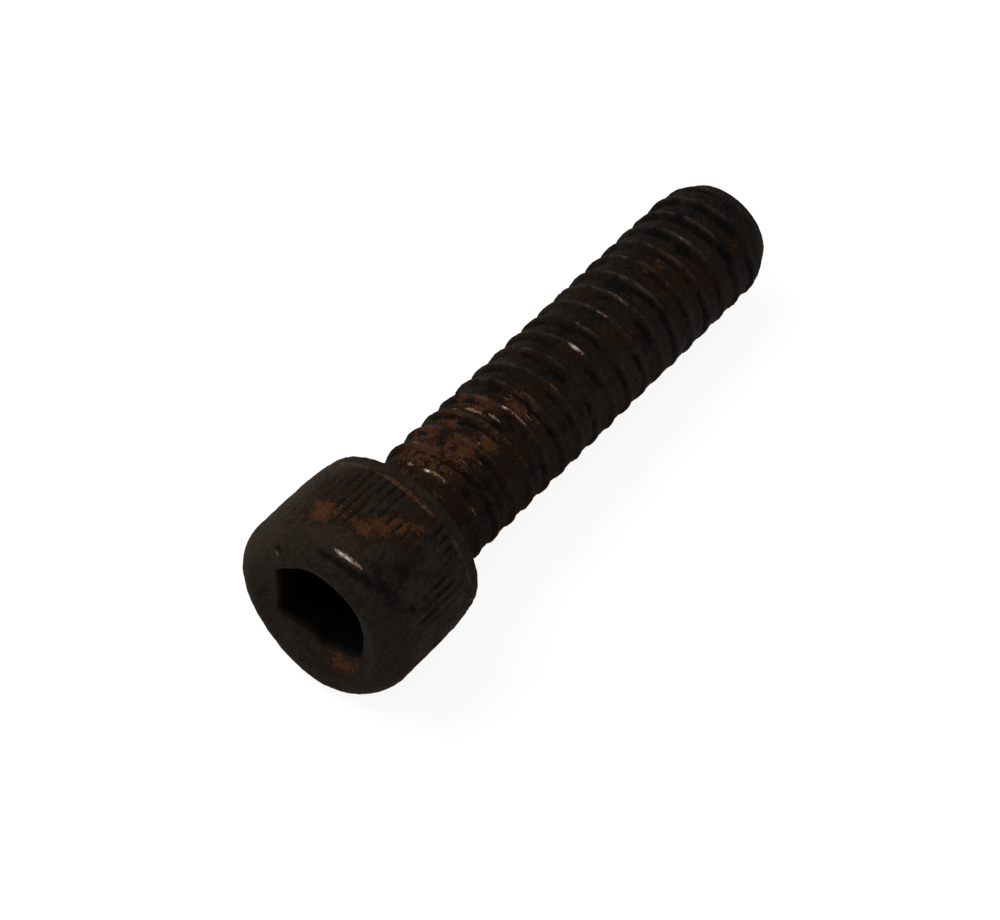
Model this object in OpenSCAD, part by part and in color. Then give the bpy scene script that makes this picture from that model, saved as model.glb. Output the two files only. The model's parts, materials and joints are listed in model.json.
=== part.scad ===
// Hex socket cap screw with a straight-knurled cylindrical head and a coarse
// right-hand thread that runs up to the head. It is one solid piece of steel.
// The screw is drawn upright, with the face under its head at height zero and
// its tip upwards, and is then laid on its side, where it touches the ground
// with the rim of its head and with the last thread before the tip.

/* [Head] */
// Diameter over the knurl
head_d = 9.35; // [8.5:0.05:11]
// Height of the head, from its top face to the face under it
head_height = 6.3; // [5.6:0.05:8]
// Length of the worn rounding at the top edge, measured along the head
crown_length = 1.35; // [0.4:0.05:2.2]
// Width of the worn rounding at the top edge, measured towards the axis
crown_width = 1.25; // [0.3:0.05:1.5]
// Length of the smooth band between the knurl and the face under the head
band_length = 0.7; // [0.55:0.05:0.9]
// Bevel at the rim of the face under the head
rim_bevel = 0.16; // [0.1:0.02:0.36]

/* [Knurl] */
// Number of ridges around the head
knurl_count = 64; // [48:1:80]
// Depth of the grooves between the ridges
knurl_depth = 0.13; // [0.06:0.01:0.2]
// Height worn off the sharp tops of the ridges
knurl_wear = 0.04; // [0.02:0.01:0.1]
// Turn of the knurl about the screw's axis
knurl_turn = 2.8; // [0.5:0.1:5]

/* [Socket] */
// Width of the hexagon across its flats
socket_across_flats = 4.76; // [4:0.01:5.2]
// Depth of the hexagon below the top face
socket_depth = 3.5; // [2.6:0.1:4.2]
// Width of the worn mouth beyond the corners of the hexagon, at the top face
socket_mouth_width = 0.8; // [0.2:0.05:0.9]
// Full angle of the shallow cone that leads into the hexagon
socket_mouth_angle = 124; // [80:2:130]
// Ledge left between the hexagon's flats and the cone at the bottom of the socket
socket_ledge = 0.08; // [0.04:0.01:0.3]
// Full angle of the cone at the bottom of the socket
socket_point_angle = 120; // [100:5:150]
// Turn of the hexagon about the screw's axis
socket_turn = -3; // [-30:1:30]

/* [Shank] */
// Length from the face under the head to the tip
shank_length = 25.2; // [12:0.1:40]
// Diameter of the plain neck under the head
neck_d = 5.5; // [5.2:0.05:5.9]
// Length of the plain neck
neck_length = 1.5; // [1:0.1:4]
// Radius of the fillet between the neck and the head
neck_fillet = 0.4; // [0.2:0.05:0.6]
// Diameter of the flat end of the tip
tip_d = 5; // [4:0.1:5.6]
// Length of the bevel at the tip
tip_bevel = 1.2; // [0.6:0.1:2]

/* [Thread] */
// Diameter over the thread's crests
thread_d = 6.2; // [6.1:0.01:6.6]
// Distance from one turn to the next
thread_pitch = 1.27; // [1:0.01:1.4]
// Angle between the two flanks of the thread
thread_angle = 60; // [50:1:65]
// Width of the worn flat along the crest
crest_width = 0.2; // [0.1:0.01:0.3]
// Width of the flat along the root
root_width = 0.22; // [0.12:0.01:0.3]
// Height at which a crest passes the side that lies on the ground
thread_start = 1.13; // [0:0.01:1.4]
// Steepness of the cone along which the thread runs out at the neck
runout_angle = 27; // [15:1:45]

/* [Hidden] */
steel_colour = [0.16, 0.12, 0.1];
// Facets around each turn of the thread
turn_steps = 36;
// Points along a rounded edge
round_steps = 8;
// Fineness of the round faces
$fn = 96;
// Overlap by which a piece of the form is sunk into its neighbour, or a cut runs past the face that it opens
sink = 0.6;
// Height by which the thread's ridge stands over its worn crest before it is cut down
crest_cut = 0.05;
// Step from the bottom of the knurl's grooves down to the smooth band
band_step = 0.02;
// Depth below the roots at which the run-out cones end
core_depth = 0.2;
// Turn of the thread's facets, as a share of one step
step_shift = 0.5;

head_r = head_d / 2;
knurl_root_r = head_r - knurl_depth;
band_r = knurl_root_r - band_step;
crest_r = thread_d / 2;
neck_r = neck_d / 2;
tip_r = tip_d / 2;
fillet_r = neck_r + neck_fillet;

// Section of the thread, from the middle of one crest to the next
flank_width = (thread_pitch - crest_width - root_width) / 2;
thread_depth = flank_width / tan(thread_angle / 2);
root_r = crest_r - thread_depth;
core_r = root_r - core_depth;
uncut_width = crest_width - 2 * crest_cut * tan(thread_angle / 2);
thread_section = [
    [crest_r + crest_cut, -uncut_width / 2],
    [crest_r + crest_cut, uncut_width / 2],
    [root_r, crest_width / 2 + flank_width],
    [root_r, crest_width / 2 + flank_width + root_width]
];

// Lie of the screw: the tilt that lets the head and the last crest touch the ground
bevel_start = shank_length - tip_bevel;
last_crest = thread_start + thread_pitch * floor((bevel_start - thread_start) / thread_pitch);
rest_tilt = atan((head_r - crest_r) / (last_crest + band_length));
rest_height = head_r * cos(rest_tilt) - band_length * sin(rest_tilt);
crown_flat_r = head_r - crown_width;
tip_reach = shank_length * cos(rest_tilt) + tip_r * sin(rest_tilt);
head_reach = head_height * cos(rest_tilt) + crown_flat_r * sin(rest_tilt);

// Quarter ellipse of the crown, from the side of the head to its top face
function crown_arc() = [
    for (i = [0:round_steps])
        let (turn = 90 * i / round_steps)
        [
            head_r - crown_width * (1 - cos(turn)),
            crown_length - head_height - crown_length * sin(turn)
        ]
];

// Quarter circle between the face under the head and the neck
function fillet_arc() = [
    for (i = [0:round_steps / 2])
        let (turn = 180 * i / round_steps)
        [fillet_r - neck_fillet * sin(turn), neck_fillet * (1 - cos(turn))]
];

// Corner of the thread's section number `point`, carried along the helix to `step`
function thread_point(step, point) =
    let (
        turns = (step + step_shift) / turn_steps,
        radius = thread_section[point][0],
        height = thread_start + thread_pitch * turns + thread_section[point][1]
    )
    [radius * cos(360 * turns), radius * sin(360 * turns), height];

// Outline of the knurl before wear: a ring of ridges with sharp tops and grooves
module knurl_outline() {
    polygon([
        for (i = [0:2 * knurl_count - 1])
            let (
                turn = knurl_turn + 180 * i / knurl_count,
                radius = i % 2 == 0 ? head_r + knurl_wear : knurl_root_r
            )
            [radius * cos(turn), radius * sin(turn)]
    ]);
}

// Head without its socket: the turned form cut by the grooves of the knurl
module head() {
    intersection() {
        rotate_extrude()
            polygon(concat(
                [[0, -head_height]],
                [for (i = [round_steps:-1:0]) crown_arc()[i]],
                [
                    [head_r, -band_length],
                    [band_r, -band_length + knurl_depth],
                    [band_r, -rim_bevel],
                    [band_r - rim_bevel, 0],
                    [0, 0]
                ]
            ));
        translate([0, 0, -head_height - sink])
            linear_extrude(head_height + 2 * sink)
                knurl_outline();
    }
}

// Hexagon with its worn mouth and the cone left at its bottom
module socket() {
    across_corners = socket_across_flats / cos(30);
    mouth_spread = tan(socket_mouth_angle / 2);
    mouth_d = across_corners + 2 * socket_mouth_width;
    mouth_foot_d = socket_across_flats - sink;
    mouth_depth = (mouth_d - mouth_foot_d) / 2 / mouth_spread;
    point_r = socket_across_flats / 2 - socket_ledge;
    point_depth = point_r / tan(socket_point_angle / 2);
    translate([0, 0, -head_height]) {
        rotate([0, 0, socket_turn])
            translate([0, 0, -sink])
                cylinder(h = socket_depth + sink, d = across_corners, $fn = 6);
        translate([0, 0, -sink])
            cylinder(h = mouth_depth + sink, d1 = mouth_d + 2 * sink * mouth_spread, d2 = mouth_foot_d);
        rotate_extrude()
            polygon([
                [0, socket_depth - sink],
                [point_r, socket_depth - sink],
                [point_r, socket_depth],
                [0, socket_depth + point_depth]
            ]);
    }
}

// Neck under the head, with its fillet and the cone that fills the first grooves
module neck() {
    rotate_extrude()
        polygon(concat(
            [[0, -sink], [fillet_r, -sink]],
            fillet_arc(),
            [
                [neck_r, neck_length],
                [core_r, neck_length + (neck_r - core_r) / tan(runout_angle)],
                [0, neck_length + (neck_r - core_r) / tan(runout_angle)]
            ]
        ));
}

// Helical thread that runs past both ends of the shank
module endless_thread() {
    first = -turn_steps;
    last = turn_steps * ceil((shank_length + thread_pitch) / thread_pitch);
    corners = len(thread_section);
    steps = last - first;
    points = [for (step = [first:last], point = [0:corners - 1]) thread_point(step, point)];
    start_centre = len(points);
    end_centre = start_centre + 1;
    start_height = thread_point(first, 0)[2];
    end_height = thread_point(last, corners - 1)[2];
    strips = [
        for (step = [0:steps - 1], point = [0:corners - 2])
            let (a = corners * step + point, b = a + corners)
            each [[a, a + 1, b + 1], [a, b + 1, b]]
    ];
    seams = [
        for (step = [0:steps - turn_steps - 1])
            let (a = corners * step + corners - 1, b = a + corners, up = corners * turn_steps - corners + 1)
            each [[a, a + up, b + up], [a, b + up, b]]
    ];
    start_fan = [
        for (step = [0:turn_steps - 1])
            [corners * step, corners * (step + 1), start_centre]
    ];
    start_step = concat(
        [for (point = [0:corners - 2]) [point + 1, point, start_centre]],
        [[corners * turn_steps, corners - 1, start_centre]]
    );
    top = corners * steps + corners - 1;
    end_fan = [
        for (step = [0:turn_steps - 1])
            [top - corners * step, top - corners * (step + 1), end_centre]
    ];
    end_step = concat(
        [for (point = [0:corners - 2]) [top - point - 1, top - point, end_centre]],
        [[top - corners * turn_steps, top - corners + 1, end_centre]]
    );
    polyhedron(
        points = concat(points, [[0, 0, start_height], [0, 0, end_height]]),
        faces = concat(strips, seams, start_fan, start_step, end_fan, end_step)
    );
}

// Room that the thread is cut to: a run-out cone, the worn crests and the tip's bevel
module thread_room() {
    rotate_extrude()
        polygon([
            [0, neck_length - (neck_r - core_r) / tan(runout_angle)],
            [core_r, neck_length - (neck_r - core_r) / tan(runout_angle)],
            [crest_r, neck_length + (crest_r - neck_r) / tan(runout_angle)],
            [crest_r, bevel_start],
            [tip_r, shank_length],
            [0, shank_length]
        ]);
}

module thread() {
    intersection() {
        endless_thread();
        thread_room();
    }
}

// The whole screw, laid on its side with its middle over the origin
module cap_screw() {
    color(steel_colour)
        translate([(head_reach - tip_reach) / 2, 0, rest_height])
            rotate([0, 90 + rest_tilt, 0])
                difference() {
                    union() {
                        head();
                        neck();
                        thread();
                    }
                    socket();
                }
}

cap_screw();
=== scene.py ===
# Worn and rusted hex socket cap screw, lying on its side on a pale table
import json
import math

import bmesh
import bpy
import numpy as np
from mathutils import Matrix, Vector, noise


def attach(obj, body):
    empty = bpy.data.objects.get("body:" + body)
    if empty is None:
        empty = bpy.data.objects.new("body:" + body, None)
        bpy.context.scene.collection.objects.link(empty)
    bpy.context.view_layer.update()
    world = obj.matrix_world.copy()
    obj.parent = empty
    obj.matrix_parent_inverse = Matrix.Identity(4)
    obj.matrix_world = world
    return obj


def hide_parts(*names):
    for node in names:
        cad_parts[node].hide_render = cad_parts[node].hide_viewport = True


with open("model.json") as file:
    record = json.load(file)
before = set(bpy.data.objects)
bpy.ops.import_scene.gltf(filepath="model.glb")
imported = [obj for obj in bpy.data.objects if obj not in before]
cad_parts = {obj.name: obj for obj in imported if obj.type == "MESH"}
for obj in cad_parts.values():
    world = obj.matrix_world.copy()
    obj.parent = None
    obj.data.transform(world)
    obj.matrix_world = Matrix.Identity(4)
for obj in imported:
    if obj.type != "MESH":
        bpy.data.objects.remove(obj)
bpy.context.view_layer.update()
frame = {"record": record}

MM = 0.001

# Sizes of the screw in millimetres and degrees, as in the part's source
head_r = 9.35 / 2
head_height = 6.3
crown_length = 1.35
crown_width = 1.25
band_length = 0.7
knurl_count = 64
knurl_turn = 2.8
socket_across_flats = 4.76
socket_depth = 3.5
socket_mouth_width = 0.8
socket_mouth_angle = 124
socket_ledge = 0.08
socket_point_angle = 120
socket_turn = -3
shank_length = 25.2
neck_r = 5.5 / 2
neck_length = 1.5
neck_fillet = 0.4
tip_r = 5 / 2
tip_bevel = 1.2
crest_r = 6.2 / 2
thread_pitch = 1.27
thread_angle = 60
crest_width = 0.2
thread_start = 1.13
runout_angle = 27

# Wear and dirt of the head in millimetres
groove_depth = 0.045
corner_wear = 0.07
corner_rounding = 0.12
wall_draft = 0.02
edge_wear = 0.1
lip_width = 0.22
lip_rise = 0.02
knurl_taper = 0.05
taper_from = 4.4
underside_inset = 0.6
pit_height = 0.018
lump_height = 0.025
dent_depth = 0.05

# Swellings round the head: height in millimetres, middle and reach in degrees
corner_dirt = {"height": 0.4, "turn": 357, "reach": 36}
full_crown = {"height": 0.26, "turn": 356, "reach": 34}
flat_crown = {"height": -0.05, "turn": 48, "reach": 16}
# Share of the crown's swelling that goes outwards, and as much of it towards the top face
bulge_share = 0.7

# End of the knurl with the burr behind it: distance before the end, and depth below the head's radius
knurl_end_form = [
    (0.22, 0.08),
    (0.12, 0.085),
    (0.04, 0.075),
    (-0.03, 0.08),
    (-0.09, 0.12),
    (-0.15, 0.15),
    (-0.3, 0.16),
    (-0.44, 0.17),
    (-0.55, 0.18),
    (-0.63, 0.21),
    (-0.68, 0.26),
    (-0.7, 0.33),
]
burr_reach = 0.35
burr_from_end = 0.03
burr_width = 0.09

# Wear of the thread, and the scale that fills its grooves, in millimetres below the crests
least_crest_wear = 0.015
crest_wear_lumps = 0.035
most_crest_wear = 0.07
crest_nicks = 0.04
scale_level = 0.17
scale_swing = 0.04
scale_lowest_turn = 116
scale_lumps = 0.04
thick_scale = 0.05
gully_sink = 0.07
gully_middle = -0.28
gully_width = 0.17
thread_pits = 0.02
thread_scabs = 0.03
tip_hollow = 0.04
tip_lumps = 0.03
tip_middle_hollow = 0.05

# Widths over which the forms of the thread are rounded into each other, in millimetres
crest_rounding = 0.06
scale_rounding = 0.05
runout_rounding = 0.06
bevel_rounding = 0.12

# Fineness of the meshes
ridge_points = 6
cone_shares = (0.12, 0.35, 0.6, 0.82, 1)
wall_steps = 11
wall_rows = len(cone_shares) + wall_steps
mouth_rows = 4
lip_steps = 6
crown_steps = 17
knurled_crown_rows = 6
knurl_steps = 25
steps_per_pitch = 15
tip_shares = (0.93, 0.8, 0.6, 0.4, 0.2)


# The screw's own frame: the axis runs to the tip, and angles are counted from the side that lies down
def mount(name):
    return next(m for m in frame["record"]["mounts"] if m["name"] == name)


bearing = mount("under_head")
axis = Vector(bearing["axis"]).normalized()
under_side = Vector((axis.z, 0, -axis.x))
across = Vector((0, 1, 0))
bearing_centre = Vector(bearing["pos_m"])
screw_to_world = np.array([under_side, across, axis])
top_centre = bearing_centre - axis * head_height * MM


def to_world(points):
    return points * MM @ screw_to_world + np.array(bearing_centre)


def smooth_max(a, b, width):
    """Greater of two surfaces, with their meeting rounded over the given width."""
    share = np.clip(0.5 + 0.5 * (a - b) / width, 0, 1)
    return b + (a - b) * share + width * share * (1 - share)


def smooth_min(a, b, width):
    return -smooth_max(-a, -b, width)


def ramp(x, low, high):
    """Smooth rise from 0 at low to 1 at high."""
    t = np.clip((x - low) / (high - low), 0, 1)
    return t * t * (3 - 2 * t)


def turn_apart(a, b):
    """Degrees between two angles, the shorter way round."""
    return np.abs((a - b + 180) % 360 - 180)


def swell(angles, height, turn, reach):
    """Swelling of the given height around one angle, which dies away over its reach."""
    return height * np.exp(-(turn_apart(angles, turn) / reach) ** 2)


def bell(distance, width):
    """Bell curve that is 1 where the distance is 0."""
    return np.exp(-(distance / width) ** 2)


def polar(radius, angle, height):
    """Points from their radius, angle in degrees and height above the face under the head."""
    turn = np.radians(angle)
    return np.stack(np.broadcast_arrays(radius * np.cos(turn), radius * np.sin(turn), height), -1)


def mottle(points, size, octaves, seed):
    """Smooth noise from about -1 to 1 at each point, in lumps of the given size in millimetres."""
    shift = Vector((17.3 * seed, -9.1 * seed, 5.7 * seed))
    flat = points.reshape(-1, 3) / size
    values = [noise.fractal(Vector(p) + shift, 0.9, 2.1, octaves) for p in flat]
    return np.array(values).reshape(points.shape[:-1])


# Patches on the surface. Each row has the patch's distance from the top face in millimetres, its angle in
# degrees, half its length in millimetres, half its width in degrees, and its strength

# Brown and orange rust
rust_zones = [
    (2.1, 164, 0.5, 9, 0.75),
    (2.6, 161, 0.35, 7, 0.85),
    (2.9, 176, 0.5, 9, 0.55),
    (2.6, 173, 0.35, 7, 0.75),
    (2.6, 183, 0.35, 6, 0.8),
    (2.6, 191, 0.35, 7, 0.9),
    (3.2, 196, 0.4, 8, 0.9),
    (3.8, 203, 0.4, 7, 0.9),
    (4.4, 210, 0.4, 6, 0.8),
    (3.2, 158, 0.8, 10, 0.35),
    (4.0, 165, 1.2, 16, 0.22),
    (5.0, 205, 0.3, 8, 0.4),
    (5.5, 190, 0.14, 26, 0.85),
    (3.6, 243, 0.9, 12, 0.17),
    (0.42, 330, 0.2, 28, 0.72),
    (7.3, 160, 0.7, 30, 0.6),
    (7.4, 205, 0.5, 16, 0.6),
    (8.9, 172, 0.8, 32, 1.0),
    (8.6, 232, 0.8, 10, 0.4),
    (10.2, 142, 0.7, 14, 1.0),
    (10.2, 188, 0.7, 16, 1.0),
    (11.4, 155, 0.6, 16, 0.95),
    (11.4, 200, 0.6, 15, 0.85),
    (12.7, 165, 0.6, 22, 0.85),
    (13.9, 196, 0.6, 26, 0.75),
    (11.8, 228, 1.6, 14, 0.35),
    (15.2, 195, 0.8, 34, 0.25),
    (16.6, 170, 0.7, 24, 0.2),
    (18.0, 186, 0.8, 28, 0.28),
    (19.4, 205, 0.9, 30, 0.25),
    (20.8, 215, 0.9, 22, 0.25),
    (21.4, 155, 0.9, 20, 0.22),
    (24.2, 212, 0.6, 24, 0.35),
    (25.4, 200, 0.6, 24, 0.44),
    (26.6, 228, 0.5, 18, 0.38),
    (29.2, 225, 0.4, 8, 0.42),
    (12.0, 330, 3.0, 50, 0.7),
    (24.0, 20, 3.0, 45, 0.6),
    (3.0, 10, 1.5, 40, 0.6),
    (19.0, 300, 2.4, 26, 0.4),
]

# Dark patches: soot in sheltered places, and painted shade on the side of the head turned from the lamp and
# along the head's side of the crests; they also darken the end towards the tip
soot_and_shade_zones = [
    (0.5, 184, 0.12, 8, 0.9),
    (0.57, 194, 0.14, 8, 1.0),
    (0.65, 203, 0.15, 7, 1.0),
    (0.85, 212, 0.2, 7, 0.95),
    (1.2, 221, 0.4, 8, 0.9),
    (0.12, 150, 0.08, 3, 0.9),
    (1.6, 229, 0.7, 10, 0.8),
    (2.1, 240, 0.9, 12, 0.65),
    (1.5, 212, 0.5, 7, 0.7),
    (2.5, 221, 0.8, 9, 0.75),
    (3.4, 222, 0.9, 6, 0.7),
    (8.6, 219, 0.25, 7, 0.9),
    (8.9, 245, 0.3, 8, 0.7),
    (9.6, 228, 0.5, 10, 0.8),
    (9.9, 250, 0.5, 12, 0.7),
    (11.4, 169, 0.25, 7, 1.0),
    (12.2, 196, 0.25, 9, 1.0),
    (12.7, 205, 0.2, 6, 0.9),
    (12.3, 246, 0.5, 12, 0.7),
    (13.9, 163, 0.25, 6, 0.9),
    (13.8, 214, 0.3, 6, 0.8),
    (15.1, 240, 0.4, 8, 0.6),
    (16.5, 200, 0.35, 12, 0.9),
    (16.4, 240, 0.4, 10, 0.6),
    (17.7, 171, 0.3, 9, 0.8),
    (18.0, 222, 0.25, 10, 0.9),
    (19.0, 179, 0.3, 9, 0.8),
    (20.6, 193, 0.2, 8, 0.7),
    (21.8, 228, 0.5, 16, 0.8),
    (22.7, 177, 0.3, 16, 0.9),
    (23.3, 207, 0.3, 12, 1.0),
    (23.4, 228, 0.3, 10, 1.0),
    (24.3, 192, 0.15, 6, 0.8),
    (24.6, 227, 0.15, 5, 0.8),
    (26.8, 165, 0.2, 14, 1.0),
    (26.7, 197, 0.35, 11, 1.1),
    (28.15, 170, 0.28, 16, 1.05),
    (28.2, 198, 0.28, 14, 1.1),
    (28.5, 225, 0.28, 14, 1.1),
    (29.4, 179, 0.25, 16, 0.95),
    (29.5, 208, 0.3, 14, 0.9),
    (30.5, 198, 0.3, 14, 0.8),
]

# Glints of bare metal
glint_zones = [
    (0.9, 191, 0.06, 3, 0.9),
    (0.96, 196, 0.06, 3.5, 1.0),
    (1.0, 202, 0.04, 3, 0.8),
    (8.1, 180, 0.06, 3, 1.0),
    (12.6, 189, 0.05, 2, 1.0),
    (13.2, 189, 0.05, 2, 1.0),
    (18.3, 193, 0.09, 5, 1.0),
    (16.1, 20, 0.1, 6, 0.9),
    (27.5, 60, 0.1, 6, 0.9),
]

# Pale streaks, partly oxide rubbed thin and partly painted highlight along the crests and the burr
streak_zones = [
    (0.04, 147, 0.07, 1.3, 0.6),
    (5.5, 150, 0.06, 18, 0.5),
    (5.46, 183, 0.06, 14, 0.58),
    (5.46, 204, 0.06, 12, 0.56),
    (5.5, 219, 0.06, 8, 0.4),
    (8.2, 191, 0.07, 11, 0.9),
    (8.05, 162, 0.07, 5, 0.9),
    (9.3, 148, 0.06, 5, 0.8),
    (9.6, 196, 0.07, 6, 0.8),
    (10.2, 209, 0.06, 4, 0.8),
    (10.9, 196, 0.06, 4, 0.8),
    (11.4, 196, 0.06, 4, 0.8),
    (12.1, 148, 0.06, 8, 0.9),
    (12.3, 168, 0.09, 12, 1.0),
    (12.55, 188, 0.07, 8, 1.0),
    (13.3, 200, 0.07, 15, 0.9),
    (13.8, 182, 0.05, 4, 0.8),
    (13.8, 210, 0.06, 5, 0.8),
    (8.4, 237, 0.07, 6, 0.8),
    (14.6, 195, 0.07, 7, 0.8),
    (15.9, 205, 0.07, 8, 0.8),
    (18.3, 194, 0.09, 10, 0.9),
    (19.5, 180, 0.05, 16, 0.6),
    (20.75, 189, 0.06, 11, 0.7),
    (22.05, 186, 0.06, 14, 0.75),
    (24.4, 186, 0.04, 4, 0.65),
    (27.1, 190, 0.06, 9, 0.7),
    (27.4, 211, 0.05, 4, 0.8),
]

# Places where the scale fills the thread's grooves higher
scale_zones = [
    (22, 270, 7, 50, 1.0),
]

# Places where the knurl is worn smooth
smooth_zones = [
    (1.9, 165, 0.9, 35, 0.8),
    (3.4, 140, 2.0, 22, 0.7),
    (2.0, 235, 1.0, 30, 0.5),
]

# Greyer, lighter oxide: partly a grey bloom, and partly painted light on the side turned to the lamp and on
# the shaded side of the thread
bloom_and_light_zones = [
    (1.5, 124, 2.6, 30, 0.9),
    (4.4, 124, 2.2, 26, 0.9),
    (0.4, 100, 1.2, 70, 0.6),
    (6.0, 180, 1.0, 40, 0.4),
    (10.0, 124, 5.0, 22, 0.7),
    (16.5, 128, 1.5, 20, 0.9),
    (22.0, 124, 8.0, 20, 0.5),
    (4.8, 240, 1.4, 24, 0.3),
    (2.2, 178, 1.6, 26, 0.75),
    (16.0, 252, 14.0, 34, 0.5),
    (8.0, 330, 6.0, 60, 0.4),
]


def patches(zones, from_top, angle):
    """Cover at each point by the strongest of the patches there."""
    cover = np.zeros_like(from_top)
    for place, turn, length, width, strength in zones:
        reach = ((from_top - place) / length) ** 2 + (turn_apart(angle, turn) / width) ** 2
        cover = np.maximum(cover, strength * np.exp(-reach * 0.6))
    return cover


def worn_bare(from_top, angle):
    """Glints of bare metal, and the streaks as fainter ones, which are partly painted highlight."""
    glint = patches(glint_zones, from_top, angle)
    return glint, 0.45 * patches(streak_zones, from_top, angle)


def closed_rows(first_vertex, rows, columns):
    """Faces of a grid whose rows close into rings."""
    faces = []
    for row in range(rows - 1):
        low = first_vertex + row * columns
        for i in range(columns):
            j = (i + 1) % columns
            faces.append((low + i, low + j, low + columns + j, low + columns + i))
    return faces


def normals_of(points):
    """Outward normals of a grid whose rows close into rings."""
    along = np.gradient(points, axis=0)
    around = np.roll(points, -1, axis=1) - np.roll(points, 1, axis=1)
    normal = np.cross(around, along)
    return normal / np.maximum(np.linalg.norm(normal, axis=2, keepdims=True), 1e-9)


# Head: rings of points run from the bottom of the socket over the lip and the knurl to the neck
ridge_shares = np.arange(ridge_points) / ridge_points
ridge_step = 360 / knurl_count
head_angles = np.array([
    knurl_turn + ridge_step * (ridge + 0.5 + share)
    for ridge in range(knurl_count)
    for share in ridge_shares
])
groove_place = np.tile(ridge_shares, knurl_count)
head_columns = len(head_angles)
whole_ring = np.ones(head_columns)
knurl_end = head_height - band_length

flat_r = socket_across_flats / 2
corner_r = flat_r / math.cos(math.radians(30))
worn_corner_r = np.full(head_columns, corner_r - corner_wear)
hexagon_r = flat_r / np.cos(np.radians((head_angles - socket_turn) % 60 - 30))
hexagon_r = smooth_min(hexagon_r, worn_corner_r, corner_rounding)
hexagon_r = hexagon_r - swell(head_angles, **corner_dirt)
mouth_r = corner_r + socket_mouth_width
lip_r = mouth_r - lip_width
mouth_slope = math.tan(math.radians(90 - socket_mouth_angle / 2))
mouth_edge = (mouth_r - hexagon_r) * mouth_slope
point_r = flat_r - socket_ledge
point_slope = 1 / math.tan(math.radians(socket_point_angle / 2))


def rounded(start, corner, end, steps):
    """Rows of a worn corner, as (radius, depth) pairs that leave start towards corner and reach end."""
    rows = []
    for t in np.linspace(0, 1, steps):
        rows.append(tuple(
            (1 - t) ** 2 * a + 2 * t * (1 - t) * b + t ** 2 * c
            for a, b, c in zip(start, corner, end)
        ))
    return rows


def socket_rows():
    """Cone at the bottom, walls of the hexagon, their worn edge and the mouth, as (radius, depth) pairs."""
    rows = []
    for share in cone_shares:
        radius = point_r * share
        rows.append((radius * whole_ring, (socket_depth + (point_r - radius) * point_slope) * whole_ring))
    wall_top = mouth_edge + edge_wear
    for t in np.linspace(0, 1, wall_steps):
        rows.append((hexagon_r - wall_draft * (1 - t), socket_depth + (wall_top - socket_depth) * t))
    rows += rounded(
        (hexagon_r, wall_top),
        (hexagon_r, mouth_edge),
        (hexagon_r + edge_wear, mouth_edge - edge_wear * mouth_slope),
        mouth_rows,
    )[1:]
    for t in (0.3, 0.6, 1):
        radius = hexagon_r + edge_wear + (lip_r - hexagon_r - edge_wear) * t
        rows.append((radius, (mouth_r - radius) * mouth_slope))
    return rows


def crown_rows():
    """Worn lip and crown, which is fuller where the head lies on the table than on top."""
    crown_flat = head_r - crown_width
    lip_end = 17
    start = (lip_r * whole_ring, (mouth_r - lip_r) * mouth_slope * whole_ring)
    corner = (mouth_r * whole_ring, -lip_rise * whole_ring)
    end = (
        (crown_flat + crown_width * math.sin(math.radians(lip_end))) * whole_ring,
        crown_length * (1 - math.cos(math.radians(lip_end))) * whole_ring,
    )
    rows = rounded(start, corner, end, lip_steps)[1:]
    fullness = swell(head_angles, **full_crown) + swell(head_angles, **flat_crown)
    for turn in np.linspace(lip_end, 90, crown_steps)[1:]:
        bulge = fullness * math.sin(math.radians(2 * (turn - lip_end) * 90 / (90 - lip_end)))
        radius = crown_flat + crown_width * math.sin(math.radians(turn)) + bulge * bulge_share
        depth = crown_length * (1 - math.cos(math.radians(turn))) - bulge * bulge_share
        rows.append((radius, depth))
    return rows


def side_rows():
    """Knurled side, the burr that the knurling tool left at its end, and the smooth band."""
    rows = []
    for depth in np.linspace(crown_length, knurl_end - burr_reach, knurl_steps)[1:]:
        taper = knurl_taper * ramp(depth, taper_from, knurl_end)
        rows.append((head_r * whole_ring - taper, depth * whole_ring))
    for ahead, below in knurl_end_form:
        rows.append(((head_r - below) * whole_ring, (knurl_end - ahead) * whole_ring))
    return rows


def underside_rows():
    """Flat face under the head and the fillet that leads to the neck."""
    fillet_r = neck_r + neck_fillet
    face_r = head_r - underside_inset
    rows = []
    for share in (0.75, 0.4, 0):
        radius = fillet_r + share * (face_r - fillet_r)
        rows.append((radius * whole_ring, head_height * whole_ring))
    for turn in (30, 60, 90):
        radius = fillet_r - neck_fillet * math.sin(math.radians(turn))
        depth = head_height + neck_fillet * (1 - math.cos(math.radians(turn)))
        rows.append((radius * whole_ring, depth * whole_ring))
    return rows


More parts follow.
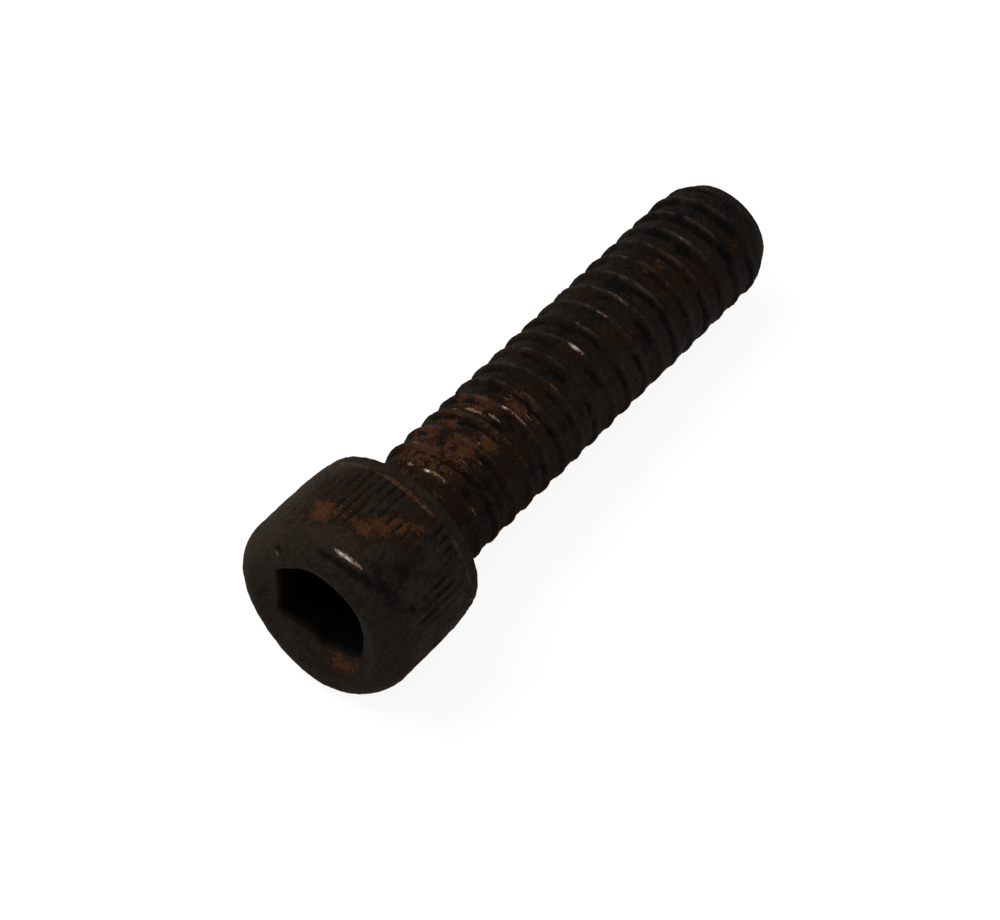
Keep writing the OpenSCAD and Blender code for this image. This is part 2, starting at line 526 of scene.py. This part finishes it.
def head_points():
    """Points of the head, the marks that its finishes read at each of them, and the rows of the socket."""
    socket = socket_rows()
    crown = crown_rows()
    rows = socket + crown + side_rows() + underside_rows()
    radius = np.array([row[0] for row in rows])
    depth = np.array([row[1] for row in rows])
    points = polar(radius, head_angles, depth - head_height)
    normals = normals_of(points)
    lumps = mottle(points, size=1.6, octaves=3, seed=1)
    pits = mottle(points, size=0.32, octaves=3, seed=2)
    dents = mottle(points, size=0.7, octaves=2, seed=3)
    angle = head_angles[None, :] % 360 + np.zeros_like(depth)
    row_number = np.arange(len(rows))
    crown_end = len(socket) + len(crown)
    before_knurl = row_number < crown_end - knurled_crown_rows
    on_crown = (row_number >= len(socket)) & (row_number < crown_end)
    on_wall = row_number < wall_rows

    # Grooves of the knurl, worn shallow and filled with rust here and there
    knurled = ramp(depth, 1.15, 1.8) * (1 - ramp(depth, knurl_end - 0.1, knurl_end + 0.12))
    knurled[before_knurl] = 0
    groove = (0.5 + 0.5 * np.cos(2 * math.pi * groove_place)) ** 1.3
    groove = groove[None, :] * knurled
    groove = groove * np.clip(0.75 + 1.3 * lumps - patches(smooth_zones, depth, angle), 0.05, 1.2)
    points = points - normals * (groove * groove_depth)[..., None]

    # Rough skin of oxide, and dents where it flaked off
    rough = np.where(on_wall[:, None], 0.7, 1.0)
    height = pit_height * pits + lump_height * lumps - dent_depth * ramp(dents, 0.45, 0.9)
    points = points + normals * (height * rough)[..., None]

    # Rubbed lines: the burr, and the tops of the ridges away from the side that lies up
    burr = bell(depth - knurl_end + burr_from_end, burr_width)
    burr[before_knurl] = 0
    shown_ridge = ramp(turn_apart(head_angles, 180), 20, 60)
    line = np.maximum(burr, 0.4 * knurled * (1 - groove) * shown_ridge[None, :])

    # Painted shade in the knurl's grooves and deeper in the socket, soot and painted shade from the dark
    # patches, rust, glints, and the bloom with its painted light
    socket_shade = np.where(on_wall[:, None], ramp(depth - mouth_edge[None, :], 0.05, 0.45), 0)
    shade_and_soot = np.maximum(0.8 * groove, patches(soot_and_shade_zones, depth, angle))
    shade_and_soot = np.maximum(shade_and_soot, socket_shade)
    rust = patches(rust_zones, depth, angle)
    rust[on_crown] *= ramp(depth[on_crown], 0.35, 1.1)
    glint = np.maximum(*worn_bare(depth, angle))
    bloom_and_light = patches(bloom_and_light_zones, depth, angle)
    for cover in (rust, glint, bloom_and_light):
        cover[on_wall] *= 1 - socket_shade[on_wall]
    return points, shade_and_soot, line, rust, glint, bloom_and_light, len(socket)


# Shank: a grid sheared along the helix, so that every crest runs along one line of points
shank_columns = head_columns // 2
shank_angles = np.arange(shank_columns) * 360 / shank_columns
shank_from = neck_fillet
flank_slope = 1 / math.tan(math.radians(thread_angle / 2))


def groove_floor(beyond_crest, angle, height, points):
    """Radius of the scale in the grooves, which is sunk a little along the head's side of each crest."""
    depth = scale_level + scale_swing * np.cos(np.radians(angle - scale_lowest_turn))
    depth = depth - scale_lumps * mottle(points, size=0.9, octaves=3, seed=6)
    depth = depth + gully_sink * bell(beyond_crest - gully_middle, gully_width)
    depth = depth - thick_scale * patches(scale_zones, height + head_height, angle)
    return crest_r - depth


def cut_ends(radius, height):
    """Thread with its run-out at the neck and its bevel at the tip."""
    cone = (height - neck_length) * math.tan(math.radians(runout_angle))
    radius = smooth_max(radius, np.minimum(neck_r, neck_r - cone), runout_rounding)
    radius = smooth_min(radius, np.maximum(neck_r, neck_r + cone), runout_rounding)
    bevel = tip_r + (shank_length - height) * (crest_r - tip_r) / tip_bevel
    return smooth_min(radius, bevel, bevel_rounding)


def worn_thread(angle, height, points):
    """Radius of the thread at an angle and a height above the face under the head, and its marks."""
    turns = (height - thread_start) / thread_pitch - angle / 360
    beyond_crest = (turns - np.round(turns)) * thread_pitch
    from_crest = np.abs(beyond_crest)
    wear = least_crest_wear + crest_wear_lumps * mottle(points, size=1.1, octaves=3, seed=4)
    wear = np.clip(wear, 0, most_crest_wear)
    nick = ramp(mottle(points, size=0.55, octaves=2, seed=5), 0.35, 0.8)
    top = crest_r - wear - crest_nicks * nick
    flank = crest_r - (from_crest - crest_width / 2) * flank_slope
    radius = smooth_min(flank, top, crest_rounding)
    floor = groove_floor(beyond_crest, angle, height, points)
    radius = smooth_max(radius, floor, scale_rounding)
    radius = cut_ends(radius, height)

    # Painted shade in gullies along the head's side of the crests
    gully_place = -0.3 + 0.1 * mottle(points, size=1.6, octaves=2, seed=10)
    gully_shade = 0.35 + 0.65 * ramp(mottle(points, size=1.4, octaves=3, seed=11), -0.4, 0.4)
    shade_and_soot = 0.85 * bell(beyond_crest - gully_place, 0.2) * gully_shade * ramp(height, 1.2, 2)

    # Crests rubbed pale, with a painted highlight that is strongest on the side that lies up towards the
    # lamp
    polish_and_highlight = 0.35 + 0.65 * ramp(np.cos(np.radians(angle - 165)), 0.5, 0.95)
    polish_and_highlight = polish_and_highlight * (0.4 + 0.6 * ramp(mottle(points, size=2.2, octaves=2, seed=12), -0.3, 0.3))
    line = bell(from_crest, 0.1) * polish_and_highlight * ramp(height, 1.4, 2.2)
    return radius, shade_and_soot, line


def shank_grid():
    """Points of the neck and the thread, and the marks that their finish reads at each of them."""
    last = steps_per_pitch * int(math.ceil(shank_length / thread_pitch) + 1)
    rows = np.arange(-steps_per_pitch, last)
    along = rows[:, None] * thread_pitch / steps_per_pitch
    height = along + thread_pitch * shank_angles[None, :] / 360 + shank_from
    height = np.clip(height, shank_from, shank_length)
    from_top = height + head_height
    angle = np.broadcast_to(shank_angles, height.shape)
    on_cylinder = polar(crest_r, angle, height)
    radius, shade_and_soot, line = worn_thread(angle, height, on_cylinder)
    pits = mottle(on_cylinder, size=0.3, octaves=3, seed=7)
    scabs = ramp(mottle(on_cylinder, size=0.5, octaves=3, seed=8), 0.1, 0.6)
    rust = patches(rust_zones, from_top, angle)
    spots, streaks = worn_bare(from_top, angle)
    glint = np.maximum(spots * ramp(line, 0.1, 0.3), streaks)
    bloom_and_light = patches(bloom_and_light_zones, from_top, angle)
    shade_and_soot = np.maximum(shade_and_soot, patches(soot_and_shade_zones, from_top, angle))
    radius = radius + (thread_pits * pits + thread_scabs * scabs * rust) * ramp(height, shank_from, 1.2)
    radius = np.minimum(radius, crest_r)
    return polar(radius, angle, height), shade_and_soot, line, rust, glint, bloom_and_light


def shank_faces(points, first_vertex):
    """Faces of the sheared grid, with the rows beyond either end drawn together into one ring."""
    rows, columns = points.shape[:2]
    heights = points[..., 2]
    number = np.arange(rows * columns).reshape(rows, columns)
    low = (heights <= shank_from + 1e-9).sum(0) - 1
    high = rows - (heights >= shank_length - 1e-9).sum(0)
    for i in range(columns):
        number[:low[i], i] = number[low[i], i]
        number[high[i]:, i] = number[high[i], i]
    faces = []
    for j in range(rows - 1):
        for i in range(columns):
            if i + 1 < columns:
                right_low, right_high = number[j:j + 2, i + 1]
            elif j + 1 + steps_per_pitch < rows:
                right_low, right_high = number[j + steps_per_pitch:j + steps_per_pitch + 2, 0]
            else:
                right_low = right_high = number[rows - 1, 0]
            ring = []
            for corner in (number[j, i], right_low, right_high, number[j + 1, i]):
                if corner not in ring:
                    ring.append(corner)
            if len(ring) > 2:
                faces.append(tuple(int(corner) + first_vertex for corner in ring))
    start_ring = [int(number[low[i], i]) + first_vertex for i in range(columns)]
    end_ring = [int(number[high[i], i]) + first_vertex for i in range(columns)]
    return faces, start_ring, end_ring


# Finishes by their place in the list of the screw's materials
head_finish = 0
thread_finish = 1
shaded_socket_finish = 2

# Marks that the finishes read at each point of the mesh
mark_names = ("shade_and_soot", "crest_line", "rust_cover", "glint", "bloom_and_light")
# The point at the bottom of the socket is in full painted shade
socket_point_marks = (1, 0, 0, 0, 0)
tip_marks = (0, 0, 0.4, 0, 0.2)


def build_screw():
    """The whole screw as one closed mesh, from the bottom of the socket to the middle of the tip."""
    mesh_points = []
    faces = []
    finishes = []
    marks = {name: [] for name in mark_names}

    def add(points, *values):
        start = sum(len(p) for p in mesh_points)
        mesh_points.append(points.reshape(-1, 3))
        for name, value in zip(mark_names, values):
            marks[name].append(np.broadcast_to(value, points.shape[:-1]).ravel())
        return start

    def face(new_faces, finish):
        faces.extend(new_faces)
        finishes.extend(np.broadcast_to(finish, len(new_faces)))

    head, *head_marks, socket_end = head_points()
    add(head, *head_marks)
    in_socket = np.arange(len(head) - 1) < socket_end - mouth_rows
    row_finish = np.where(in_socket, shaded_socket_finish, head_finish)
    face(closed_rows(0, len(head), head_columns), np.repeat(row_finish, head_columns))

    # Point at the bottom of the socket
    bottom = head[0, 0, 2] + cone_shares[0] * point_r * point_slope
    point = add(np.array([[0, 0, bottom]]), *socket_point_marks)
    face([(point, (i + 1) % head_columns, i) for i in range(head_columns)], shaded_socket_finish)

    shank, *shank_marks = shank_grid()
    shank_start = add(shank, *shank_marks)
    shank_quads, start_ring, ring = shank_faces(shank, shank_start)
    face(shank_quads, thread_finish)

    # The head has two points for each one of the shank
    last_row = (len(head) - 1) * head_columns
    for i in range(shank_columns):
        a = last_row + 2 * i
        b = a + 1
        c = last_row + (2 * i + 2) % head_columns
        d = start_ring[i]
        e = start_ring[(i + 1) % shank_columns]
        face([(a, b, d), (b, e, d), (b, c, e)], thread_finish)

    # Flat end of the tip, slightly hollowed by wear
    for share in tip_shares:
        row = polar(tip_r * share, shank_angles, shank_length)
        row[:, 2] -= tip_hollow + tip_lumps * mottle(row, size=0.8, octaves=3, seed=9)
        start = add(row, *tip_marks)
        new_ring = [start + i for i in range(shank_columns)]
        for i in range(shank_columns):
            j = (i + 1) % shank_columns
            face([(ring[i], ring[j], new_ring[j], new_ring[i])], thread_finish)
        ring = new_ring
    middle = add(np.array([[0, 0, shank_length - tip_middle_hollow]]), *tip_marks)
    face([(ring[i], ring[(i + 1) % shank_columns], middle) for i in range(shank_columns)], thread_finish)

    mesh = bpy.data.meshes.new("worn_screw")
    mesh.from_pydata(to_world(np.concatenate(mesh_points)).tolist(), [], faces)
    for name, values in marks.items():
        layer = mesh.attributes.new(name, "FLOAT", "POINT")
        layer.data.foreach_set("value", np.concatenate(values).astype(np.float32))
    mesh.polygons.foreach_set("material_index", np.array(finishes, np.int32))
    mesh.polygons.foreach_set("use_smooth", np.ones(len(faces), bool))
    drop_loose_points(mesh)
    screw = bpy.data.objects.new("worn_screw", mesh)
    bpy.context.scene.collection.objects.link(screw)
    return screw


def drop_loose_points(mesh):
    """Delete points of the sheared grid that no face uses, and turn every face outwards."""
    shape = bmesh.new()
    shape.from_mesh(mesh)
    bmesh.ops.delete(shape, geom=[v for v in shape.verts if not v.link_faces], context="VERTS")
    bmesh.ops.recalc_face_normals(shape, faces=shape.faces)
    shape.to_mesh(mesh)
    shape.free()


# Colours
def tone(red, green, blue):
    """Colour from its eight-bit values as seen on a screen."""
    def linear(value):
        value /= 255
        return value / 12.92 if value <= 0.04045 else ((value + 0.055) / 1.055) ** 2.4
    return (linear(red), linear(green), linear(blue), 1)


head_oxide = {"Soot And Shade": tone(16, 14, 12), "Brown": tone(36, 30, 24), "Grey": tone(51, 43, 36)}
thread_oxide = {"Soot And Shade": tone(11, 10, 9), "Brown": tone(31, 26, 22), "Grey": tone(45, 38, 32)}
# Darker copy of the oxide for the inside of the socket: painted shade
shaded_socket_oxide = {"Soot And Shade": tone(8, 7, 7), "Brown": tone(22, 18, 15), "Grey": tone(30, 26, 22)}
rust_tones = {"Dark": tone(38, 24, 16), "Orange": tone(66, 40, 23), "Pale": tone(88, 70, 57)}
# Tan of the rubbed crests and pale of the streaks, partly painted highlight
tan_wear_and_highlight = tone(64, 53, 45)
pale_wear_and_highlight = tone(118, 94, 78)
bare_steel = tone(200, 194, 186)
white = (1, 1, 1, 1)


def put(tree, kind, inputs=None, **settings):
    """Node of the given kind, with its inputs linked or set."""
    node = tree.nodes.new(kind)
    for name, value in settings.items():
        setattr(node, name, value)
    for name, value in (inputs or {}).items():
        feed(tree, node.inputs[name], value)
    return node


def feed(tree, socket, value):
    """Link a socket to another node's output, or set it to a fixed value."""
    if isinstance(value, bpy.types.NodeSocket):
        tree.links.new(value, socket)
    else:
        socket.default_value = value


def maths(tree, operation, a, b=None, clamp=False):
    inputs = {0: a} if b is None else {0: a, 1: b}
    return put(tree, "ShaderNodeMath", inputs, operation=operation, use_clamp=clamp).outputs[0]


def times(tree, a, b, clamp=False):
    return maths(tree, "MULTIPLY", a, b, clamp)


def total(tree, first, *others, clamp=False):
    """Sum of two or more values."""
    for other in others:
        first = maths(tree, "ADD", first, other, clamp)
    return first


def blend(tree, share, a, b):
    """Colour a where the share is 0, and colour b where it is 1."""
    node = put(tree, "ShaderNodeMix", data_type="RGBA")
    for name, value in (("Factor", share), ("A", a), ("B", b)):
        socket = next(s for s in node.inputs if s.name == name and s.type in ("VALUE", "RGBA") and s.enabled)
        feed(tree, socket, value)
    return next(s for s in node.outputs if s.enabled)


def speckle(tree, place, size, detail=4.0, rough=0.6):
    """Noise in lumps of the given size in millimetres."""
    inputs = {"Vector": place, "Scale": 1 / (size * MM), "Detail": detail, "Roughness": rough}
    return put(tree, "ShaderNodeTexNoise", inputs).outputs["Fac"]


def step(tree, value, low, high):
    """Smooth step from 0 at low to 1 at high, or down to 0 where low is the greater."""
    inputs = {"Value": value, "From Min": low, "From Max": high}
    return put(tree, "ShaderNodeMapRange", inputs, interpolation_type="SMOOTHSTEP").outputs["Result"]


def new_group(name, inputs, outputs):
    """Empty shader node group, with the sockets of its inputs and outputs."""
    group = bpy.data.node_groups.new(name, "ShaderNodeTree")
    kinds = {"value": "NodeSocketFloat", "colour": "NodeSocketColor", "vector": "NodeSocketVector"}
    for label, kind in inputs.items():
        group.interface.new_socket(label, in_out="INPUT", socket_type=kinds[kind])
    for label, kind in outputs.items():
        group.interface.new_socket(label, in_out="OUTPUT", socket_type=kinds[kind])
    given = group.nodes.new("NodeGroupInput").outputs
    out = group.nodes.new("NodeGroupOutput").inputs
    return group, given, out


def oxide_skin_group():
    """Blackened skin: brown oxide, soot and painted shade where the shade mark is high, and a greyer bloom
    that carries painted light, broken up at three sizes.
    """
    inputs = {
        "Place": "vector",
        "Soot And Shade": "colour",
        "Brown": "colour",
        "Grey": "colour",
        "Grey Share": "value",
        "Shade And Soot": "value",
        "Bloom And Light": "value",
    }
    outputs = {"Colour": "colour", "Roughness": "value", "Height": "value"}
    group, given, out = new_group("oxide_skin", inputs, outputs)
    broad = speckle(group, given["Place"], size=1.8, detail=3)
    medium = speckle(group, given["Place"], size=0.3, detail=4, rough=0.65)
    fine = speckle(group, given["Place"], size=0.11, detail=3, rough=0.7)
    mix = total(
        group,
        times(group, broad, 0.3),
        times(group, medium, 0.4),
        times(group, fine, 0.3),
        times(group, given["Bloom And Light"], 0.22),
    )
    brown = step(group, mix, 0.36, 0.7)
    colour = blend(group, brown, given["Soot And Shade"], given["Brown"])
    # Grey at random, and more of it where the bloom mark carries painted light
    grey = step(group, total(group, fine, times(group, medium, 0.6)), 0.74, 0.98)
    grey = times(group, grey, given["Grey Share"])
    grey = total(group, grey, times(group, given["Bloom And Light"], 0.6), clamp=True)
    colour = blend(group, grey, colour, given["Grey"])
    # Painted shade: the colour goes to soot where the shade mark is high
    shade_share = maths(group, "SUBTRACT", given["Shade And Soot"], times(group, medium, 0.8))
    shade_share = maths(group, "SUBTRACT", shade_share, times(group, fine, 0.8))
    shade_share = step(group, shade_share, -0.55, 0.05)
    colour = blend(group, shade_share, colour, given["Soot And Shade"])
    feed(group, out["Colour"], colour)
    feed(group, out["Roughness"], total(group, times(group, medium, 0.25), 0.68))
    feed(group, out["Height"], total(group, medium, times(group, fine, 0.5)))
    return group


def rust_bloom_group():
    """Rust: a mask of ragged patches inside the cover, and its dark, orange and pale tones."""
    inputs = {
        "Place": "vector",
        "Cover": "value",
        "Shade And Soot": "value",
        "Spread": "value",
        "Dark": "colour",
        "Orange": "colour",
        "Pale": "colour",
    }
    outputs = {"Mask": "value", "Colour": "colour", "Height": "value"}
    group, given, out = new_group("rust_bloom", inputs, outputs)
    broad = speckle(group, given["Place"], size=0.9, detail=4, rough=0.6)
    flakes = speckle(group, given["Place"], size=0.22, detail=4, rough=0.7)
    grains = speckle(group, given["Place"], size=0.08, detail=2, rough=0.6)
    holes = speckle(group, given["Place"], size=0.4, detail=4, rough=0.65)
    reach = total(
        group,
        times(group, broad, 0.5),
        times(group, flakes, 0.35),
        times(group, grains, 0.5),
        times(group, given["Cover"], 0.42),
        given["Spread"],
    )
    stain = step(group, reach, 0.73, 0.79)
    bright = step(group, reach, 0.9, 0.96)
    mask = times(group, stain, step(group, holes, 0.6, 0.54))
    shade_share = total(group, given["Shade And Soot"], times(group, flakes, 1.2))
    mask = times(group, mask, step(group, shade_share, 1.45, 1.15))
    colour = blend(group, bright, given["Dark"], given["Orange"])
    pale = times(group, step(group, grains, 0.6, 0.72), bright)
    colour = blend(group, times(group, pale, 0.8), colour, given["Pale"])
    feed(group, out["Mask"], mask)
    feed(group, out["Colour"], colour)
    feed(group, out["Height"], total(group, times(group, flakes, 0.7), times(group, grains, 0.3)))
    return group


def wear_and_highlight_line_group():
    """Wear along a crest, ridge or edge, with painted highlight on it: a broken tan line, pale streaks and
    bare metal.
    """
    inputs = {"Place": "vector", "Line": "value", "Amount": "value", "Glint": "value"}
    outputs = {"Mask": "value", "Streak": "value", "Bare": "value"}
    group, given, out = new_group("wear_and_highlight_line", inputs, outputs)
    breaks = speckle(group, given["Place"], size=0.7, detail=4, rough=0.65)
    glints = speckle(group, given["Place"], size=1.3, detail=3, rough=0.6)
    chips = speckle(group, given["Place"], size=0.12, detail=3, rough=0.7)
    mask = times(group, step(group, breaks, 0.42, 0.6), given["Line"])
    bare = times(group, step(group, glints, 0.66, 0.74), step(group, given["Line"], 0.55, 0.85))
    broken = times(group, step(group, breaks, 0.3, 0.4), step(group, given["Glint"], 0.5, 0.75))
    streak = step(group, total(group, given["Glint"], times(group, chips, 0.8)), 0.6, 0.74)
    streak = times(group, streak, step(group, given["Glint"], 0.1, 0.2))
    feed(group, out["Mask"], times(group, mask, given["Amount"], clamp=True))
    feed(group, out["Streak"], streak)
    feed(group, out["Bare"], maths(group, "MAXIMUM", bare, broken))
    return group


oxide_skin = oxide_skin_group()
rust_bloom = rust_bloom_group()
wear_and_highlight_line = wear_and_highlight_line_group()


def rusted_oxide(name, oxide, grey_share, rust_spread, line_amount, bump_strength):
    """Steel with blackened skin, rust on it, its crests and edges rubbed pale with painted highlight,
    painted shade in its hollows and painted light in its bloom.
    """
    material = bpy.data.materials.new(name)
    material.use_nodes = True
    tree = material.node_tree
    tree.nodes.clear()
    place = put(tree, "ShaderNodeTexCoord").outputs["Object"]
    mark = {
        label: put(tree, "ShaderNodeAttribute", attribute_name=label).outputs["Fac"]
        for label in mark_names
    }
    skin = put(tree, "ShaderNodeGroup", node_tree=oxide_skin)
    feed_all(tree, skin, oxide)
    feed_all(tree, skin, {
        "Place": place,
        "Grey Share": grey_share,
        "Shade And Soot": mark["shade_and_soot"],
        "Bloom And Light": mark["bloom_and_light"],
    })
    rust = put(tree, "ShaderNodeGroup", node_tree=rust_bloom)
    feed_all(tree, rust, rust_tones)
    feed_all(tree, rust, {
        "Place": place,
        "Cover": mark["rust_cover"],
        "Shade And Soot": mark["shade_and_soot"],
        "Spread": rust_spread,
    })
    line = put(tree, "ShaderNodeGroup", node_tree=wear_and_highlight_line)
    feed_all(tree, line, {
        "Place": place,
        "Line": mark["crest_line"],
        "Amount": line_amount,
        "Glint": mark["glint"],
    })
    colour = blend(tree, rust.outputs["Mask"], skin.outputs["Colour"], rust.outputs["Colour"])
    colour = blend(tree, line.outputs["Mask"], colour, tan_wear_and_highlight)
    colour = blend(tree, line.outputs["Streak"], colour, pale_wear_and_highlight)
    colour = blend(tree, line.outputs["Bare"], colour, bare_steel)
    rust_roughness = times(tree, rust.outputs["Mask"], 0.25)
    roughness = total(tree, skin.outputs["Roughness"], rust_roughness, clamp=True)
    bare_gloss = times(tree, line.outputs["Bare"], 0.35)
    roughness = maths(tree, "SUBTRACT", roughness, bare_gloss, clamp=True)
    rust_relief = times(tree, rust.outputs["Mask"], rust.outputs["Height"])
    relief = total(tree, skin.outputs["Height"], times(tree, rust_relief, 2.0))
    bump = put(tree, "ShaderNodeBump", {
        "Height": relief,
        "Strength": bump_strength,
        "Distance": 0.03 * MM,
    })
    shader = put(tree, "ShaderNodeBsdfPrincipled", {
        "Base Color": colour,
        "Roughness": roughness,
        "Metallic": line.outputs["Bare"],
        "Specular IOR Level": 0.03,
        "Normal": bump.outputs["Normal"],
    })
    put(tree, "ShaderNodeOutputMaterial", {"Surface": shader.outputs["BSDF"]})
    return material


def feed_all(tree, node, values):
    for label, value in values.items():
        feed(tree, node.inputs[label], value)


# Table, light and camera
table_half = 0.6
table_paint = (0.8, 0.8, 0.8, 1)
table_seen_paint = (0.16, 0.16, 0.16, 1)
table_glow = 0.9
fill_light = 0.52


def seen_rays(tree):
    """Share of rays that show a surface itself, directly or in a reflection."""
    rays = put(tree, "ShaderNodeLightPath")
    seen = maths(tree, "MAXIMUM", rays.outputs["Is Camera Ray"], rays.outputs["Is Glossy Ray"])
    return maths(tree, "MAXIMUM", seen, rays.outputs["Is Transmission Ray"])


def build_table():
    """Pale table that looks almost white and still shows a faint shadow."""
    half = table_half
    corners = [(-half, -half, 0), (half, -half, 0), (half, half, 0), (-half, half, 0)]
    mesh = bpy.data.meshes.new("table")
    mesh.from_pydata(corners, [], [(0, 1, 2, 3)])
    table = bpy.data.objects.new("table", mesh)
    bpy.context.scene.collection.objects.link(table)
    material = bpy.data.materials.new("pale_table")
    material.use_nodes = True
    tree = material.node_tree
    tree.nodes.clear()
    paint = put(tree, "ShaderNodeBsdfDiffuse", {"Color": table_paint})
    seen_paint = put(tree, "ShaderNodeBsdfDiffuse", {"Color": table_seen_paint})
    glow = put(tree, "ShaderNodeEmission", {"Color": white, "Strength": table_glow})
    seen = put(tree, "ShaderNodeAddShader", {0: seen_paint.outputs[0], 1: glow.outputs[0]})
    mix = put(tree, "ShaderNodeMixShader", {0: seen_rays(tree), 1: paint.outputs[0], 2: seen.outputs[0]})
    put(tree, "ShaderNodeOutputMaterial", {"Surface": mix.outputs[0]})
    mesh.materials.append(material)


def build_world():
    """White surroundings that light the screw less than they show."""
    world = bpy.data.worlds.new("studio")
    bpy.context.scene.world = world
    world.use_nodes = True
    tree = world.node_tree
    tree.nodes.clear()
    fill = put(tree, "ShaderNodeBackground", {"Color": white, "Strength": fill_light})
    shown = put(tree, "ShaderNodeBackground", {"Color": white, "Strength": 1.0})
    camera_ray = put(tree, "ShaderNodeLightPath").outputs["Is Camera Ray"]
    mix = put(tree, "ShaderNodeMixShader", {0: camera_ray, 1: fill.outputs[0], 2: shown.outputs[0]})
    put(tree, "ShaderNodeOutputWorld", {"Surface": mix.outputs[0]})


def soft_lamp(name, place, target, size, power):
    """Square lamp that faces its target."""
    light = bpy.data.lights.new(name, "AREA")
    light.shape = "SQUARE"
    light.size = size
    light.energy = power
    lamp = bpy.data.objects.new(name, light)
    bpy.context.scene.collection.objects.link(lamp)
    toward = (Vector(target) - Vector(place)).normalized()
    lamp.location = place
    lamp.rotation_euler = toward.to_track_quat("-Z", "Y").to_euler()


# Camera: its turn about the vertical and its dip, its lens, and where the middle of the head's top face
# lies from it in millimetres
camera_turn = math.radians(-52.44)
camera_dip = math.radians(52.14)
picture_width = 1000
focal_pixels = 3601
sensor_width = 36
head_right = -8.328
head_below = 7.106
head_ahead = 159.23


def build_camera():
    right = Vector((math.cos(camera_turn), math.sin(camera_turn), 0))
    forward = Vector((
        -math.sin(camera_turn) * math.cos(camera_dip),
        math.cos(camera_turn) * math.cos(camera_dip),
        -math.sin(camera_dip),
    ))
    up = right.cross(forward)
    place = top_centre - (right * head_right - up * head_below + forward * head_ahead) * MM
    data = bpy.data.cameras.new("camera")
    data.sensor_width = sensor_width
    data.lens = sensor_width * focal_pixels / picture_width
    data.clip_start = 0.001
    camera = bpy.data.objects.new("camera", data)
    bpy.context.scene.collection.objects.link(camera)
    camera.matrix_world = Matrix.Translation(place) @ Matrix((right, up, -forward)).transposed().to_4x4()
    bpy.context.scene.camera = camera


build_camera()
build_table()
build_world()
soft_lamp("window", place=(-0.12, 0.30, 0.46), target=(0, 0, 0.003), size=0.34, power=1.75)

screw = build_screw()
screw.data.materials.append(rusted_oxide(
    "knurled_head_oxide", head_oxide, grey_share=0.35, rust_spread=0.0, line_amount=0.8, bump_strength=0.7))
screw.data.materials.append(rusted_oxide(
    "thread_rust", thread_oxide, grey_share=0.3, rust_spread=0.0, line_amount=0.95, bump_strength=0.9))
# Finish inside the socket, darkened as painted shade
screw.data.materials.append(rusted_oxide(
    "socket_painted_shade", shaded_socket_oxide, grey_share=0.1, rust_spread=-0.08, line_amount=0.2, bump_strength=0.6))
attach(screw, "root")
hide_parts("cap_screw")

bpy.context.scene.view_settings.view_transform = "Standard"
